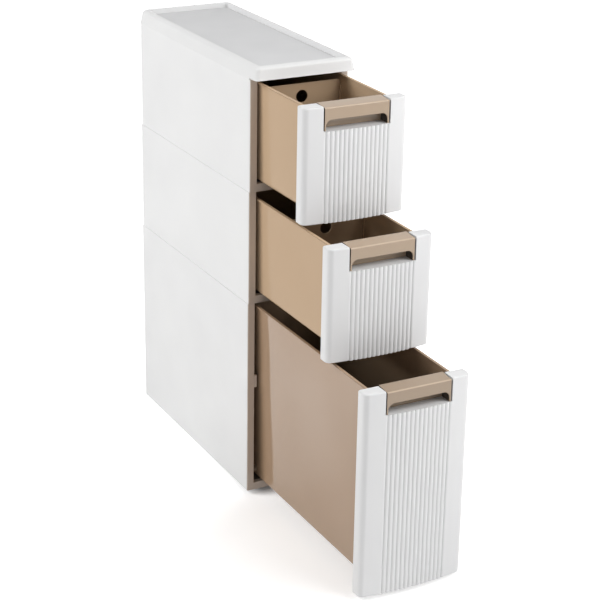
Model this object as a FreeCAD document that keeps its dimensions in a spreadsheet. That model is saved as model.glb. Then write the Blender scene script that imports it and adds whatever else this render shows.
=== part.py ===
import FreeCAD, Part
import os
import Sketcher

# Slim rolling storage cart: three stacked casing tiers, each with a drawer, on four fixed wheels.
# Millimetres. X is the width, -Y is the front, +Z is up. The origin lies on the floor, under the
# middle of the casing.

doc = FreeCAD.newDocument("storage_cart")
dims = doc.addObject("Spreadsheet::Sheet", "dims")

SIZES = [
    # casing
    ("casing_width", 193.6),
    ("casing_depth", 476),
    ("base_clearance", 8),
    ("bottom_tier_height", 372),
    ("middle_tier_height", 208),
    ("top_tier_height", 200),
    ("tier_step", 1.2),
    ("panel_wall", 3.4),
    ("panel_round", 1),
    ("join_gap", 0.1),
    # front frames
    ("frame_wall", 2.5),
    ("frame_inset", 0.4),
    ("frame_round", 1),
    ("upright_width", 13.1),
    ("upright_return", 14),
    ("sill_height", 14.5),
    ("sill_return", 8),
    # shelves and base tray
    ("shelf_wall", 3),
    ("runner_height", 1.5),
    ("runner_width", 6),
    ("runner_inset", 4),
    ("skirt_wall", 2.5),
    ("skirt_drop", 9),
    ("spigot_depth", 6),
    # guide clips
    ("clip_level", 208),
    ("clip_height", 24),
    ("clip_reach", 5),
    ("clip_leaf", 9),
    ("clip_wall", 2),
    # top cover and mat
    ("cover_height", 26.5),
    ("cover_overhang", 26),
    ("cover_lip", 2.4),
    ("cover_lean", 5),
    ("cover_corner", 7.6),
    ("cover_round", 7),
    ("cover_rim", 8),
    ("cover_wall", 3),
    ("cover_seat", 8),
    ("overhang_lift", 3),
    ("recess_depth", 13),
    ("recess_corner", 6),
    ("mat_thickness", 3),
    ("mat_gap", 0.5),
    # drawer boxes
    ("drawer_rear_gap", 36),
    ("drawer_wall", 1.8),
    ("rim_gap", 0.9),
    ("rim_lip", 3.5),
    ("rim_thickness", 2.5),
    ("small_draft", 2.5),
    ("deep_draft", 7.5),
    ("bottom_headroom", 6),
    ("middle_headroom", 13.3),
    ("top_headroom", 5.3),
    ("box_corner", 9),
    ("slide_gap", 0.2),
    ("lug_inset", 15.3),
    ("lug_reach", 6),
    ("lug_length", 10),
    ("lug_height", 14),
    ("lug_level", 14),
    # how much further each drawer can still open
    ("bottom_travel_left", 12),
    ("middle_travel_left", 141),
    ("top_travel_left", 237),
    # drawer fronts
    ("front_margin", 2.2),
    ("front_edge_depth", 22),
    ("front_depth", 29),
    ("front_corner", 7),
    ("front_wall", 2.2),
    ("front_drop", 13),
    ("front_rise", 5.5),
    ("front_round", 2.5),
    ("notch_width", 125),
    ("notch_depth", 41.4),
    ("groove_count", 15),
    ("groove_pitch", 8.3),
    ("groove_depth", 1.8),
    ("reed_land", 0.8),
    # grips
    ("grip_gap", 2.3),
    ("grip_depth", 25.6),
    ("grip_wall", 3),
    ("grip_slope", 2.3),
    ("hood_height", 21),
    ("finger_corner", 10.5),
    ("hook_drop", 12),
    ("hook_wall", 2),
    # dividers
    ("divider_distance", 168),
    ("divider_wall", 2),
    ("divider_drop", 8),
    ("divider_gap", 0.3),
    ("finger_hole", 22),
    ("finger_hole_drop", 23),
    ("guide_depth", 2),
    ("guide_width", 3),
    # wheels
    ("wheel_diameter", 30),
    ("wheel_width", 11),
    ("wheel_side_inset", 14.8),
    ("wheel_end_inset", 80),
    ("wheel_rim", 3.5),
    ("wheel_web", 4),
    ("wheel_round", 1.5),
    ("hub_diameter", 10),
    ("axle_diameter", 4),
    ("axle_gap", 0.05),
    ("wheel_side_gap", 0.4),
    ("wheel_top_gap", 1.5),
    ("bracket_wall", 2.2),
    ("bracket_lip", 3),
]

for row, (alias, size) in enumerate(SIZES, start=1):
    dims.set(f"A{row}", alias)
    dims.set(f"B{row}", str(size))
    dims.setAlias(f"B{row}", alias)
doc.recompute()

TIERS = ["bottom", "middle", "top"]
SIDES = {"left": "-1", "right": "1"}
FRONT = "(-dims.casing_depth / 2)"
HALF = {tier: f"(dims.casing_width / 2 - {rank} * dims.tier_step)" for rank, tier in enumerate(TIERS)}
BACK = {tier: f"(dims.casing_depth / 2 - {rank} * dims.tier_step)" for rank, tier in enumerate(TIERS)}
HEIGHT = {tier: f"dims.{tier}_tier_height" for tier in TIERS}
BASE = {
    "bottom": "dims.base_clearance",
    "middle": "(dims.base_clearance + dims.bottom_tier_height)",
    "top": "(dims.base_clearance + dims.bottom_tier_height + dims.middle_tier_height)",
}
COVER_BASE = f"({BASE['top']} + dims.top_tier_height)"
DOORWAY = {tier: f"({HALF[tier]} - dims.frame_inset - dims.upright_width)" for tier in TIERS}
DRAWER_LENGTH = "(dims.casing_depth - dims.drawer_rear_gap)"
LUG_FACE = f"({DRAWER_LENGTH} - dims.lug_inset - dims.lug_length)"
MAX_OPENING = f"({LUG_FACE} - dims.frame_wall - dims.slide_gap)"
OPENING = {tier: f"({MAX_OPENING} - dims.{tier}_travel_left)" for tier in TIERS}
RIM_HALF = f"({DOORWAY['top']} - dims.rim_gap)"
BOX_TOP = f"({RIM_HALF} - dims.rim_lip)"
BOX_BOTTOM = {
    "bottom": f"({BOX_TOP} - dims.deep_draft)",
    "middle": f"({BOX_TOP} - dims.small_draft)",
    "top": f"({BOX_TOP} - dims.small_draft)",
}
BOX_HEIGHT = {
    tier: f"({HEIGHT[tier]} - dims.sill_height - dims.slide_gap - dims.{tier}_headroom)" for tier in TIERS
}
BOX_LEVEL = {tier: f"({BASE[tier]} + dims.sill_height + dims.slide_gap)" for tier in TIERS}
FRONT_HALF = {tier: f"({HALF[tier]} + dims.front_margin)" for tier in TIERS}


def value(expression):
    """The number that an expression on the sheet stands for."""
    return float(dims.evalExpression(expression))


def new_body(label, x="0", y="0", z="0"):
    """A body that carries one piece, placed by three expressions."""
    body = doc.addObject("PartDesign::Body", label)
    body.Label = label
    for axis, expression in zip("xyz", (x, y, z)):
        body.setExpression(f"Placement.Base.{axis}", expression)
    return body


def new_sketch(body, plane, shift="0"):
    """A sketch on one of the body's own planes, moved along the plane's normal."""
    sketch = body.newObject("Sketcher::SketchObject", f"{body.Label}_sketch")
    role = f"{plane}_Plane"
    support = [feature for feature in body.Origin.OriginFeatures if feature.Role == role][0]
    sketch.AttachmentSupport = [(support, "")]
    sketch.MapMode = "FlatFace"
    sketch.setExpression("AttachmentOffset.Base.z", shift)
    return sketch


def pin(sketch, piece, end, x, y):
    """Hold one end of a line or arc at the place that two expressions give."""
    for kind, expression in (("DistanceX", x), ("DistanceY", y)):
        rule = Sketcher.Constraint(kind, -1, 1, piece, end, value(expression))
        sketch.setExpression(f"Constraints[{sketch.addConstraint(rule)}]", expression)


def outline(sketch, corners):
    """A closed ring of lines, or of arcs where a corner also gives a mid point and a radius."""
    spots = [FreeCAD.Vector(value(corner[0]), value(corner[1]), 0) for corner in corners]
    runs = []
    for index, corner in enumerate(corners):
        start = spots[index]
        finish = spots[(index + 1) % len(spots)]
        if len(corner) == 2:
            runs.append((sketch.addGeometry(Part.LineSegment(start, finish)), 1, 2))
            continue
        middle = FreeCAD.Vector(value(corner[2]), value(corner[3]), 0)
        arc = sketch.addGeometry(Part.Arc(start, middle, finish))
        first = 1 if (sketch.getPoint(arc, 1) - start).Length < 0.001 else 2
        runs.append((arc, first, 3 - first))
        rule = sketch.addConstraint(Sketcher.Constraint("Radius", arc, value(corner[4])))
        sketch.setExpression(f"Constraints[{rule}]", corner[4])
    for index, (piece, first, last) in enumerate(runs):
        follower, follower_first, _ = runs[(index + 1) % len(runs)]
        sketch.addConstraint(Sketcher.Constraint("Coincident", piece, last, follower, follower_first))
        pin(sketch, piece, first, corners[index][0], corners[index][1])


def rectangle(sketch, x_low, x_high, y_low, y_high):
    """A rectangle between two pairs of expressions."""
    outline(sketch, [(x_low, y_low), (x_high, y_low), (x_high, y_high), (x_low, y_high)])


def circle(sketch, x, y, diameter):
    """A circle about a point, with its diameter on the sheet."""
    spot = FreeCAD.Vector(value(x), value(y), 0)
    ring = sketch.addGeometry(Part.Circle(spot, FreeCAD.Vector(0, 0, 1), value(diameter) / 2))
    rule = sketch.addConstraint(Sketcher.Constraint("Diameter", ring, value(diameter)))
    sketch.setExpression(f"Constraints[{rule}]", diameter)
    pin(sketch, ring, 3, x, y)


def add(body, sketch, length, backward=False, both_ways=False):
    """Pad a sketch, and make sure that the piece grew."""
    before = body.Shape.Volume if body.Tip else 0
    feature = body.newObject("PartDesign::Pad", f"{body.Label}_pad")
    feature.Profile = sketch
    feature.setExpression("Length", length)
    feature.Reversed = backward
    feature.Midplane = both_ways
    doc.recompute()
    if body.Shape.Volume <= before:
        raise RuntimeError(f"{body.Label}: a pad adds nothing")
    return feature


def cut(body, sketch, length, backward=False, both_ways=False):
    """Pocket a sketch, and make sure that the piece shrank."""
    before = body.Shape.Volume
    feature = body.newObject("PartDesign::Pocket", f"{body.Label}_pocket")
    feature.Profile = sketch
    feature.Type = "Length"
    feature.setExpression("Length", length)
    feature.Reversed = backward
    feature.Midplane = both_ways
    doc.recompute()
    if body.Shape.Volume >= before:
        raise RuntimeError(f"{body.Label}: a pocket cuts nothing")
    return feature


def round_edges(body, radius, wanted):
    """Fillet the edges whose middle point, in the body's own frame, the test picks."""
    base = body.Tip
    names = []
    for index, edge in enumerate(base.Shape.Edges, start=1):
        middle = edge.valueAt((edge.FirstParameter + edge.LastParameter) / 2)
        if wanted(middle, edge):
            names.append(f"Edge{index}")
    if not names:
        raise RuntimeError(f"{body.Label}: no edge to round")
    feature = body.newObject("PartDesign::Fillet", f"{body.Label}_fillet")
    feature.Base = (base, names)
    feature.setExpression("Radius", radius)
    doc.recompute()
    return feature


def near(first, second):
    """Two lengths that agree to a hundredth of a millimetre."""
    return abs(first - second) < 0.01


def runs_along(edge, axis):
    """True for a straight edge parallel to the axis named by its letter."""
    start, finish = edge.Vertexes[0].Point, edge.Vertexes[-1].Point
    step = finish - start
    return near(abs(getattr(step, axis)), step.Length) and near(edge.Length, step.Length)


# Casing panels

def side_panel(tier, side):
    """A flat wall of one tier, behind the front frame's upright, with softened outer edges."""
    sign = SIDES[side]
    body = new_body(f"{tier}_{side}_panel", z=BASE[tier])
    plan = new_sketch(body, "XY")
    front = f"{FRONT} + dims.frame_wall"
    rectangle(plan, f"{sign} * ({HALF[tier]} - dims.panel_wall)", f"{sign} * {HALF[tier]}", front, BACK[tier])
    add(body, plan, HEIGHT[tier])
    outer = value(f"{sign} * {HALF[tier]}")
    round_edges(body, "dims.panel_round", lambda middle, edge: near(middle.x, outer))
    return body


def back_panel(tier):
    """The wall between the two side panels at the rear of a tier."""
    body = new_body(f"{tier}_back_panel", z=BASE[tier])
    plan = new_sketch(body, "XY")
    reach = f"({HALF[tier]} - dims.panel_wall - dims.join_gap)"
    rectangle(plan, f"-{reach}", reach, f"{BACK[tier]} - dims.panel_wall", BACK[tier])
    add(body, plan, HEIGHT[tier])
    return body


# Front frames

def front_frame(tier):
    """Two uprights and a sill in one moulding, with returns that lie against the side panels."""
    body = new_body(f"{tier}_front_frame", y=FRONT, z=BASE[tier])
    outer = f"({HALF[tier]} - dims.frame_inset)"
    inner = DOORWAY[tier]
    face = new_sketch(body, "XZ")
    outline(face, [
        (f"-{outer}", "0"),
        (outer, "0"),
        (outer, HEIGHT[tier]),
        (inner, HEIGHT[tier]),
        (inner, "dims.sill_height"),
        (f"-{inner}", "dims.sill_height"),
        (f"-{inner}", HEIGHT[tier]),
        (f"-{outer}", HEIGHT[tier]),
    ])
    add(body, face, "dims.frame_wall", backward=True)
    half_gap = value(inner)
    sill_top = value("dims.sill_height")

    def on_opening(middle, edge):
        beside = near(abs(middle.x), half_gap) and middle.z > sill_top
        above = near(middle.z, sill_top)
        return near(middle.y, 0) and (beside or above)

    round_edges(body, "dims.frame_round", on_opening)
    returns = new_sketch(body, "XZ", "-dims.frame_wall")
    high = f"{HEIGHT[tier]} - dims.spigot_depth - dims.skirt_wall"
    seat = f"({HALF[tier]} - dims.panel_wall - dims.join_gap)"
    for sign in SIDES.values():
        near_edge = f"{sign} * ({seat} - dims.frame_wall)"
        rectangle(returns, f"{sign} * {seat}", near_edge, "dims.sill_height", high)
    add(body, returns, "dims.upright_return", backward=True)
    lip = new_sketch(body, "XZ", "-dims.frame_wall")
    rectangle(lip, f"-{inner}", inner, "dims.sill_height - dims.frame_wall", "dims.sill_height")
    add(body, lip, "dims.sill_return", backward=True)
    return body


def guide_clips():
    """A small block on the inner edge of each upright of the bottom tier, with a leaf behind it."""
    clips = []
    edge = DOORWAY["bottom"]
    level = f"{BASE['bottom']} + dims.clip_level"
    for side in SIDES:
        block = doc.addObject("Part::Box", f"{side}_clip_block")
        block.setExpression("Length", "dims.clip_reach")
        block.setExpression("Width", "dims.frame_wall + dims.clip_wall")
        block.setExpression("Height", "dims.clip_height")
        block_x = f"-{edge}" if side == "left" else f"{edge} - dims.clip_reach"
        block.setExpression("Placement.Base.x", block_x)
        block.setExpression("Placement.Base.y", FRONT)
        block.setExpression("Placement.Base.z", level)
        leaf = doc.addObject("Part::Box", f"{side}_clip_leaf")
        leaf.setExpression("Length", "dims.clip_leaf")
        leaf.setExpression("Width", "dims.clip_wall")
        leaf.setExpression("Height", "dims.clip_height")
        tip = f"({edge} - dims.clip_reach)"
        leaf_x = f"-{tip} - dims.clip_leaf" if side == "left" else tip
        leaf.setExpression("Placement.Base.x", leaf_x)
        leaf.setExpression("Placement.Base.y", f"{FRONT} + dims.frame_wall")
        leaf.setExpression("Placement.Base.z", level)
        clip = doc.addObject("Part::Fuse", f"{side}_clip")
        clip.Base = block
        clip.Tool = leaf
        clip.Refine = True
        clips.append(clip)
    group = doc.addObject("Part::Compound", "guide_clips")
    group.Label = "guide_clips"
    group.Links = clips
    return group


# Shelves and base tray

SHELF_FRONT = f"({FRONT} + dims.frame_wall + dims.sill_return + dims.join_gap)"
SHELF_TOP = "(dims.sill_height - dims.runner_height)"


def shelf(tier, label, skirt_foot):
    """A floor panel between the walls of a tier, with two runners and a skirt on three sides."""
    body = new_body(label, z=BASE[tier])
    reach = f"({HALF[tier]} - dims.panel_wall - dims.join_gap)"
    rear = f"({BACK[tier]} - dims.panel_wall - dims.join_gap)"
    plate = new_sketch(body, "XY", f"{SHELF_TOP} - dims.shelf_wall")
    rectangle(plate, f"-{reach}", reach, SHELF_FRONT, rear)
    add(body, plate, "dims.shelf_wall")
    runners = new_sketch(body, "XY", SHELF_TOP)
    for sign in SIDES.values():
        middle = f"{sign} * ({BOX_BOTTOM['bottom']} - dims.box_corner - dims.runner_inset)"
        low = f"{middle} - dims.runner_width / 2"
        high = f"{middle} + dims.runner_width / 2"
        rectangle(runners, low, high, SHELF_FRONT, rear)
    add(body, runners, "dims.runner_height")
    skirt = new_sketch(body, "XY", f"{SHELF_TOP} - dims.shelf_wall")
    outline(skirt, [
        (f"-{reach}", SHELF_FRONT),
        (f"-{reach} + dims.skirt_wall", SHELF_FRONT),
        (f"-{reach} + dims.skirt_wall", f"{rear} - dims.skirt_wall"),
        (f"{reach} - dims.skirt_wall", f"{rear} - dims.skirt_wall"),
        (f"{reach} - dims.skirt_wall", SHELF_FRONT),
        (reach, SHELF_FRONT),
        (reach, rear),
        (f"-{reach}", rear),
    ])
    add(body, skirt, f"{SHELF_TOP} - dims.shelf_wall - ({skirt_foot})", backward=True)
    return body


WHEEL_X = f"({HALF['bottom']} - dims.wheel_side_inset)"
WHEEL_Y = "(dims.casing_depth / 2 - dims.wheel_end_inset)"
WHEEL_Z = "dims.wheel_diameter / 2"
CORNERS = {
    "front_left": ("-1", "-1"),
    "front_right": ("1", "-1"),
    "rear_left": ("-1", "1"),
    "rear_right": ("1", "1"),
}
WELL_HALF_WIDTH = "(dims.wheel_width / 2 + dims.wheel_side_gap)"
WELL_HALF_LENGTH = "(dims.wheel_diameter / 2 + dims.wheel_top_gap)"
BRACKET_HALF_WIDTH = f"({WELL_HALF_WIDTH} + dims.bracket_wall)"
BRACKET_HALF_LENGTH = f"({WELL_HALF_LENGTH} + dims.bracket_wall)"


def base_tray():
    """The bottom shelf, with a rectangular hole for each wheel bracket."""
    body = shelf("bottom", "base_tray", f"{SHELF_TOP} - dims.shelf_wall - dims.skirt_drop")
    holes = new_sketch(body, "XY", SHELF_TOP)
    for across, along in CORNERS.values():
        x = f"{across} * {WHEEL_X}"
        y = f"{along} * {WHEEL_Y}"
        width = f"({BRACKET_HALF_WIDTH} + dims.join_gap)"
        length = f"({BRACKET_HALF_LENGTH} + dims.join_gap)"
        rectangle(holes, f"{x} - {width}", f"{x} + {width}", f"{y} - {length}", f"{y} + {length}")
    cut(body, holes, "dims.shelf_wall")
    return body


def wheel_bracket(corner):
    """A box open below that carries one wheel, with a lip that rests on the base tray."""
    across, along = CORNERS[corner]
    body = new_body(f"{corner}_bracket", f"{across} * {WHEEL_X}", f"{along} * {WHEEL_Y}", WHEEL_Z)
    top = "(dims.wheel_diameter / 2 + dims.wheel_top_gap + dims.bracket_wall)"
    foot = "(dims.base_clearance - dims.wheel_diameter / 2 + dims.bracket_wall)"
    tray_top = f"({BASE['bottom']} + {SHELF_TOP} - dims.wheel_diameter / 2)"
    block = new_sketch(body, "XY", foot)
    wide = BRACKET_HALF_WIDTH
    rectangle(block, f"-{wide}", wide, f"-{BRACKET_HALF_LENGTH}", BRACKET_HALF_LENGTH)
    add(body, block, f"{top} - {foot}")
    lips = new_sketch(body, "XY", tray_top)
    far = f"({BRACKET_HALF_LENGTH} + dims.bracket_lip)"
    rectangle(lips, f"-{wide}", wide, f"-{far}", far)
    add(body, lips, "dims.bracket_wall")
    well = new_sketch(body, "XY", foot)
    rectangle(well, f"-{WELL_HALF_WIDTH}", WELL_HALF_WIDTH, f"-{WELL_HALF_LENGTH}", WELL_HALF_LENGTH)
    cut(body, well, f"{top} - dims.bracket_wall - {foot}", backward=True)
    bore = new_sketch(body, "YZ")
    circle(bore, "0", "0", "dims.axle_diameter + 2 * dims.axle_gap")
    cut(body, bore, f"2 * {BRACKET_HALF_WIDTH}", both_ways=True)
    return body


def wheel_axles():
    """Four steel pins, one through each bracket and wheel."""
    pins = []
    for corner, (across, along) in CORNERS.items():
        axle = doc.addObject("Part::Cylinder", f"{corner}_axle")
        axle.setExpression("Radius", "dims.axle_diameter / 2")
        axle.setExpression("Height", f"2 * {BRACKET_HALF_WIDTH}")
        axle.Placement = FreeCAD.Placement(FreeCAD.Vector(), FreeCAD.Rotation(FreeCAD.Vector(0, 1, 0), 90))
        axle.setExpression("Placement.Base.x", f"{across} * {WHEEL_X} - {BRACKET_HALF_WIDTH}")
        axle.setExpression("Placement.Base.y", f"{along} * {WHEEL_Y}")
        axle.setExpression("Placement.Base.z", WHEEL_Z)
        pins.append(axle)
    group = doc.addObject("Part::Compound", "wheel_axles")
    group.Label = "wheel_axles"
    group.Links = pins
    return group


def wheel(corner):
    """A turned wheel with a hub, a thin web and a rim."""
    across, along = CORNERS[corner]
    body = new_body(f"{corner}_wheel", f"{across} * {WHEEL_X}", f"{along} * {WHEEL_Y}", WHEEL_Z)
    half = "dims.wheel_width / 2"
    web = "dims.wheel_web / 2"
    bore = "(dims.axle_diameter / 2 + dims.axle_gap)"
    hub = "dims.hub_diameter / 2"
    rim = "(dims.wheel_diameter / 2 - dims.wheel_rim)"
    tread = "dims.wheel_diameter / 2"
    section = new_sketch(body, "XY")
    outline(section, [
        (f"-{half}", bore),
        (half, bore),
        (half, hub),
        (web, hub),
        (web, rim),
        (half, rim),
        (half, tread),
        (f"-{half}", tread),
        (f"-{half}", rim),
        (f"-{web}", rim),
        (f"-{web}", hub),
        (f"-{half}", hub),
    ])
    turned = body.newObject("PartDesign::Revolution", f"{body.Label}_turned")
    turned.Profile = section
    turned.ReferenceAxis = (section, ["H_Axis"])
    turned.Angle = 360
    doc.recompute()
    outside = value(tread)
    width = value(half)

    def on_shoulder(middle, edge):
        radius = (middle.y ** 2 + middle.z ** 2) ** 0.5
        return near(radius, outside) and near(abs(middle.x), width) and not runs_along(edge, "x")

    round_edges(body, "dims.wheel_round", on_shoulder)
    return body


# Top cover and mat

COVER_HALF = f"({HALF['top']} + dims.cover_lip)"
COVER_FRONT = f"({FRONT} - dims.cover_overhang)"
COVER_BACK = f"({BACK['top']} + dims.cover_lip)"
RIM_INSET = "(dims.cover_lean + dims.cover_rim)"


def top_cover():
    """A lid with leaning sides, a rounded rim, a recess for the mat and a hollow underside."""
    body = new_body("top_cover", z=COVER_BASE)
    foot = new_sketch(body, "XY")
    rectangle(foot, f"-{COVER_HALF}", COVER_HALF, COVER_FRONT, COVER_BACK)
    lid = add(body, foot, "dims.cover_height")
    lid.setExpression("TaperAngle", "-atan(dims.cover_lean / dims.cover_height)")
    doc.recompute()
    tall = value("dims.cover_height")
    round_edges(body, "dims.cover_corner", lambda middle, edge: near(middle.z, tall / 2))
    round_edges(body, "dims.cover_round", lambda middle, edge: near(middle.z, tall))
    recess = new_sketch(body, "XY", "dims.cover_height")
    rectangle(
        recess,
        f"-{COVER_HALF} + {RIM_INSET}",
        f"{COVER_HALF} - {RIM_INSET}",
        f"{COVER_FRONT} + {RIM_INSET}",
        f"{COVER_BACK} - {RIM_INSET}",
    )
    cut(body, recess, "dims.recess_depth")
    wall = value(f"{COVER_HALF} - {RIM_INSET}")
    level = value("dims.cover_height - dims.recess_depth / 2")

    def recess_corner(middle, edge):
        return near(middle.z, level) and near(abs(middle.x), wall)

    round_edges(body, "dims.recess_corner", recess_corner)
    hollow = new_sketch(body, "XY")
    inside = f"({HALF['top']} - dims.cover_seat)"
    rectangle(hollow, f"-{inside}", inside, f"{FRONT} + dims.cover_seat", f"{BACK['top']} - dims.cover_seat")
    cut(body, hollow, "dims.cover_height - dims.recess_depth - dims.cover_wall", backward=True)
    under = new_sketch(body, "XY")
    doorway = DOORWAY["top"]
    outline(under, [
        (f"-{COVER_HALF}", COVER_FRONT),
        (COVER_HALF, COVER_FRONT),
        (COVER_HALF, FRONT),
        (doorway, FRONT),
        (doorway, f"{FRONT} + dims.cover_seat"),
        (f"-{doorway}", f"{FRONT} + dims.cover_seat"),
        (f"-{doorway}", FRONT),
        (f"-{COVER_HALF}", FRONT),
    ])
    cut(body, under, "dims.overhang_lift", backward=True)
    return body


def top_mat():
    """The flat insert on the floor of the cover's recess."""
    body = new_body("top_mat", z=f"{COVER_BASE} + dims.cover_height - dims.recess_depth")
    plan = new_sketch(body, "XY")
    inset = f"({RIM_INSET} + dims.mat_gap)"
    rectangle(
        plan,
        f"-{COVER_HALF} + {inset}",
        f"{COVER_HALF} - {inset}",
        f"{COVER_FRONT} + {inset}",
        f"{COVER_BACK} - {inset}",
    )
    add(body, plan, "dims.mat_thickness")
    half = value("dims.mat_thickness") / 2
    round_edges(body, "dims.recess_corner", lambda middle, edge: near(middle.z, half))
    return body


# Drawers

def wall_at(tier, level):
    """The half width of a box outside, at a height above its floor, between foot and rim."""
    rise = f"({BOX_HEIGHT[tier]} - dims.rim_thickness)"
    foot = BOX_BOTTOM[tier]
    return f"({foot} + ({BOX_TOP} - {foot}) * ({level}) / {rise})"


def drawer_box(tier):
    """A drafted tub with a turned-out rim, a plate that fills the back of the front, and stop lugs."""
    body = new_body(f"{tier}_drawer_box", y=f"{FRONT} - {OPENING[tier]}", z=BOX_LEVEL[tier])
    tall = BOX_HEIGHT[tier]
    foot = BOX_BOTTOM[tier]
    top = BOX_TOP
    rim = RIM_HALF
    under_rim = f"({tall} - dims.rim_thickness)"
    wall = "dims.drawer_wall"
    section = new_sketch(body, "XZ")
    outline(section, [
        (f"-{foot}", "0"),
        (foot, "0"),
        (top, under_rim),
        (rim, under_rim),
        (rim, tall),
        (f"-{rim}", tall),
        (f"-{rim}", under_rim),
        (f"-{top}", under_rim),
    ])
    add(body, section, DRAWER_LENGTH, backward=True)
    plate = new_sketch(body, "XZ")
    fit = "(dims.front_wall + dims.slide_gap)"
    reach = f"({FRONT_HALF[tier]} - {fit})"
    ear = f"(dims.notch_width / 2 + {fit})"
    saddle = f"({tall} + dims.front_rise - dims.notch_depth - {fit})"
    outline(plate, [
        (f"-{reach}", f"{fit} - dims.front_drop"),
        (reach, f"{fit} - dims.front_drop"),
        (reach, tall),
        (ear, tall),
        (ear, saddle),
        (f"-{ear}", saddle),
        (f"-{ear}", tall),
        (f"-{reach}", tall),
    ])
    add(body, plate, wall)
    inside = new_sketch(body, "XZ", f"-{wall}")
    outline(inside, [
        (f"-({foot} - {wall})", wall),
        (f"{foot} - {wall}", wall),
        (f"{wall_at(tier, tall)} - {wall}", tall),
        (f"-({wall_at(tier, tall)} - {wall})", tall),
    ])
    cut(body, inside, f"{DRAWER_LENGTH} - 2 * {wall}")
    inner_x = value(f"{foot} - {wall}")
    floor = value(wall)

    def inner_corner(middle, edge):
        return near(abs(middle.x), inner_x) and near(middle.z, floor) and runs_along(edge, "y")

    round_edges(body, f"dims.box_corner - {wall}", inner_corner)
    outer_x = value(foot)

    def outer_corner(middle, edge):
        return near(abs(middle.x), outer_x) and near(middle.z, 0) and runs_along(edge, "y")

    round_edges(body, "dims.box_corner", outer_corner)
    lugs = new_sketch(body, "XZ", f"-{LUG_FACE}")
    root = f"({wall_at(tier, 'dims.lug_level + dims.lug_height / 2')} - {wall} / 2)"
    for sign in SIDES.values():
        rectangle(
            lugs,
            f"{sign} * {root}",
            f"{sign} * ({RIM_HALF} + dims.lug_reach)",
            "dims.lug_level",
            "dims.lug_level + dims.lug_height",
        )
    add(body, lugs, "dims.lug_length", backward=True)
    if tier != "bottom":
        divider_guides(body, tier)
    return body


def divider_guides(body, tier):
    """Two upright ribs on each side wall that hold a divider between them."""
    wall = "dims.drawer_wall"
    low = "dims.box_corner"
    high = f"({BOX_HEIGHT[tier]} - dims.divider_drop - dims.box_corner)"
    slot = "(dims.divider_wall / 2 + dims.slide_gap)"
    for place in (f"dims.divider_distance - {slot} - dims.guide_width", f"dims.divider_distance + {slot}"):
        ribs = new_sketch(body, "XZ", f"-({place})")
        for sign in SIDES.values():
            outline(ribs, [
                (f"{sign} * ({wall_at(tier, low)} - {wall} - dims.guide_depth)", low),
                (f"{sign} * ({wall_at(tier, low)} - {wall} / 2)", low),
                (f"{sign} * ({wall_at(tier, high)} - {wall} / 2)", high),
                (f"{sign} * ({wall_at(tier, high)} - {wall} - dims.guide_depth)", high),
            ])
        add(body, ribs, "dims.guide_width", backward=True)


def divider(tier):
    """A loose plate across a shallow drawer, with a round finger hole near its top."""
    place = f"{FRONT} - {OPENING[tier]} + dims.divider_distance - dims.divider_wall / 2"
    body = new_body(f"{tier}_drawer_divider", y=place, z=BOX_LEVEL[tier])
    low = "(dims.drawer_wall + dims.slide_gap)"
    high = f"({BOX_HEIGHT[tier]} - dims.divider_drop)"
    clear = "dims.drawer_wall - dims.divider_gap"
    plate = new_sketch(body, "XZ")
    outline(plate, [
        (f"-({wall_at(tier, low)} - {clear})", low),
        (f"{wall_at(tier, low)} - {clear}", low),
        (f"{wall_at(tier, high)} - {clear}", high),
        (f"-({wall_at(tier, high)} - {clear})", high),
    ])
    add(body, plate, "dims.divider_wall", backward=True)
    for radius, level in (("dims.box_corner", low), ("dims.box_corner / 2", high)):
        height = value(level)
        round_edges(body, radius, lambda middle, edge: near(middle.z, height) and runs_along(edge, "y"))
    hole = new_sketch(body, "XZ")
    circle(hole, "0", f"{high} - dims.finger_hole_drop", "dims.finger_hole")
    cut(body, hole, "dims.divider_wall")
    return body


FRONT_HEIGHT = {tier: f"({BOX_HEIGHT[tier]} + dims.front_drop + dims.front_rise)" for tier in TIERS}
FRONT_LEVEL = {tier: f"({BOX_LEVEL[tier]} - dims.front_drop)" for tier in TIERS}
BOW = "(dims.front_depth - dims.front_edge_depth)"
BOW_RADIUS = {tier: f"(({FRONT_HALF[tier]} ^ 2 + {BOW} ^ 2) / (2 * {BOW}))" for tier in TIERS}
GROOVE_TURN = {tier: f"(dims.groove_pitch / {BOW_RADIUS[tier]} * 180 / pi)" for tier in TIERS}


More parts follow.
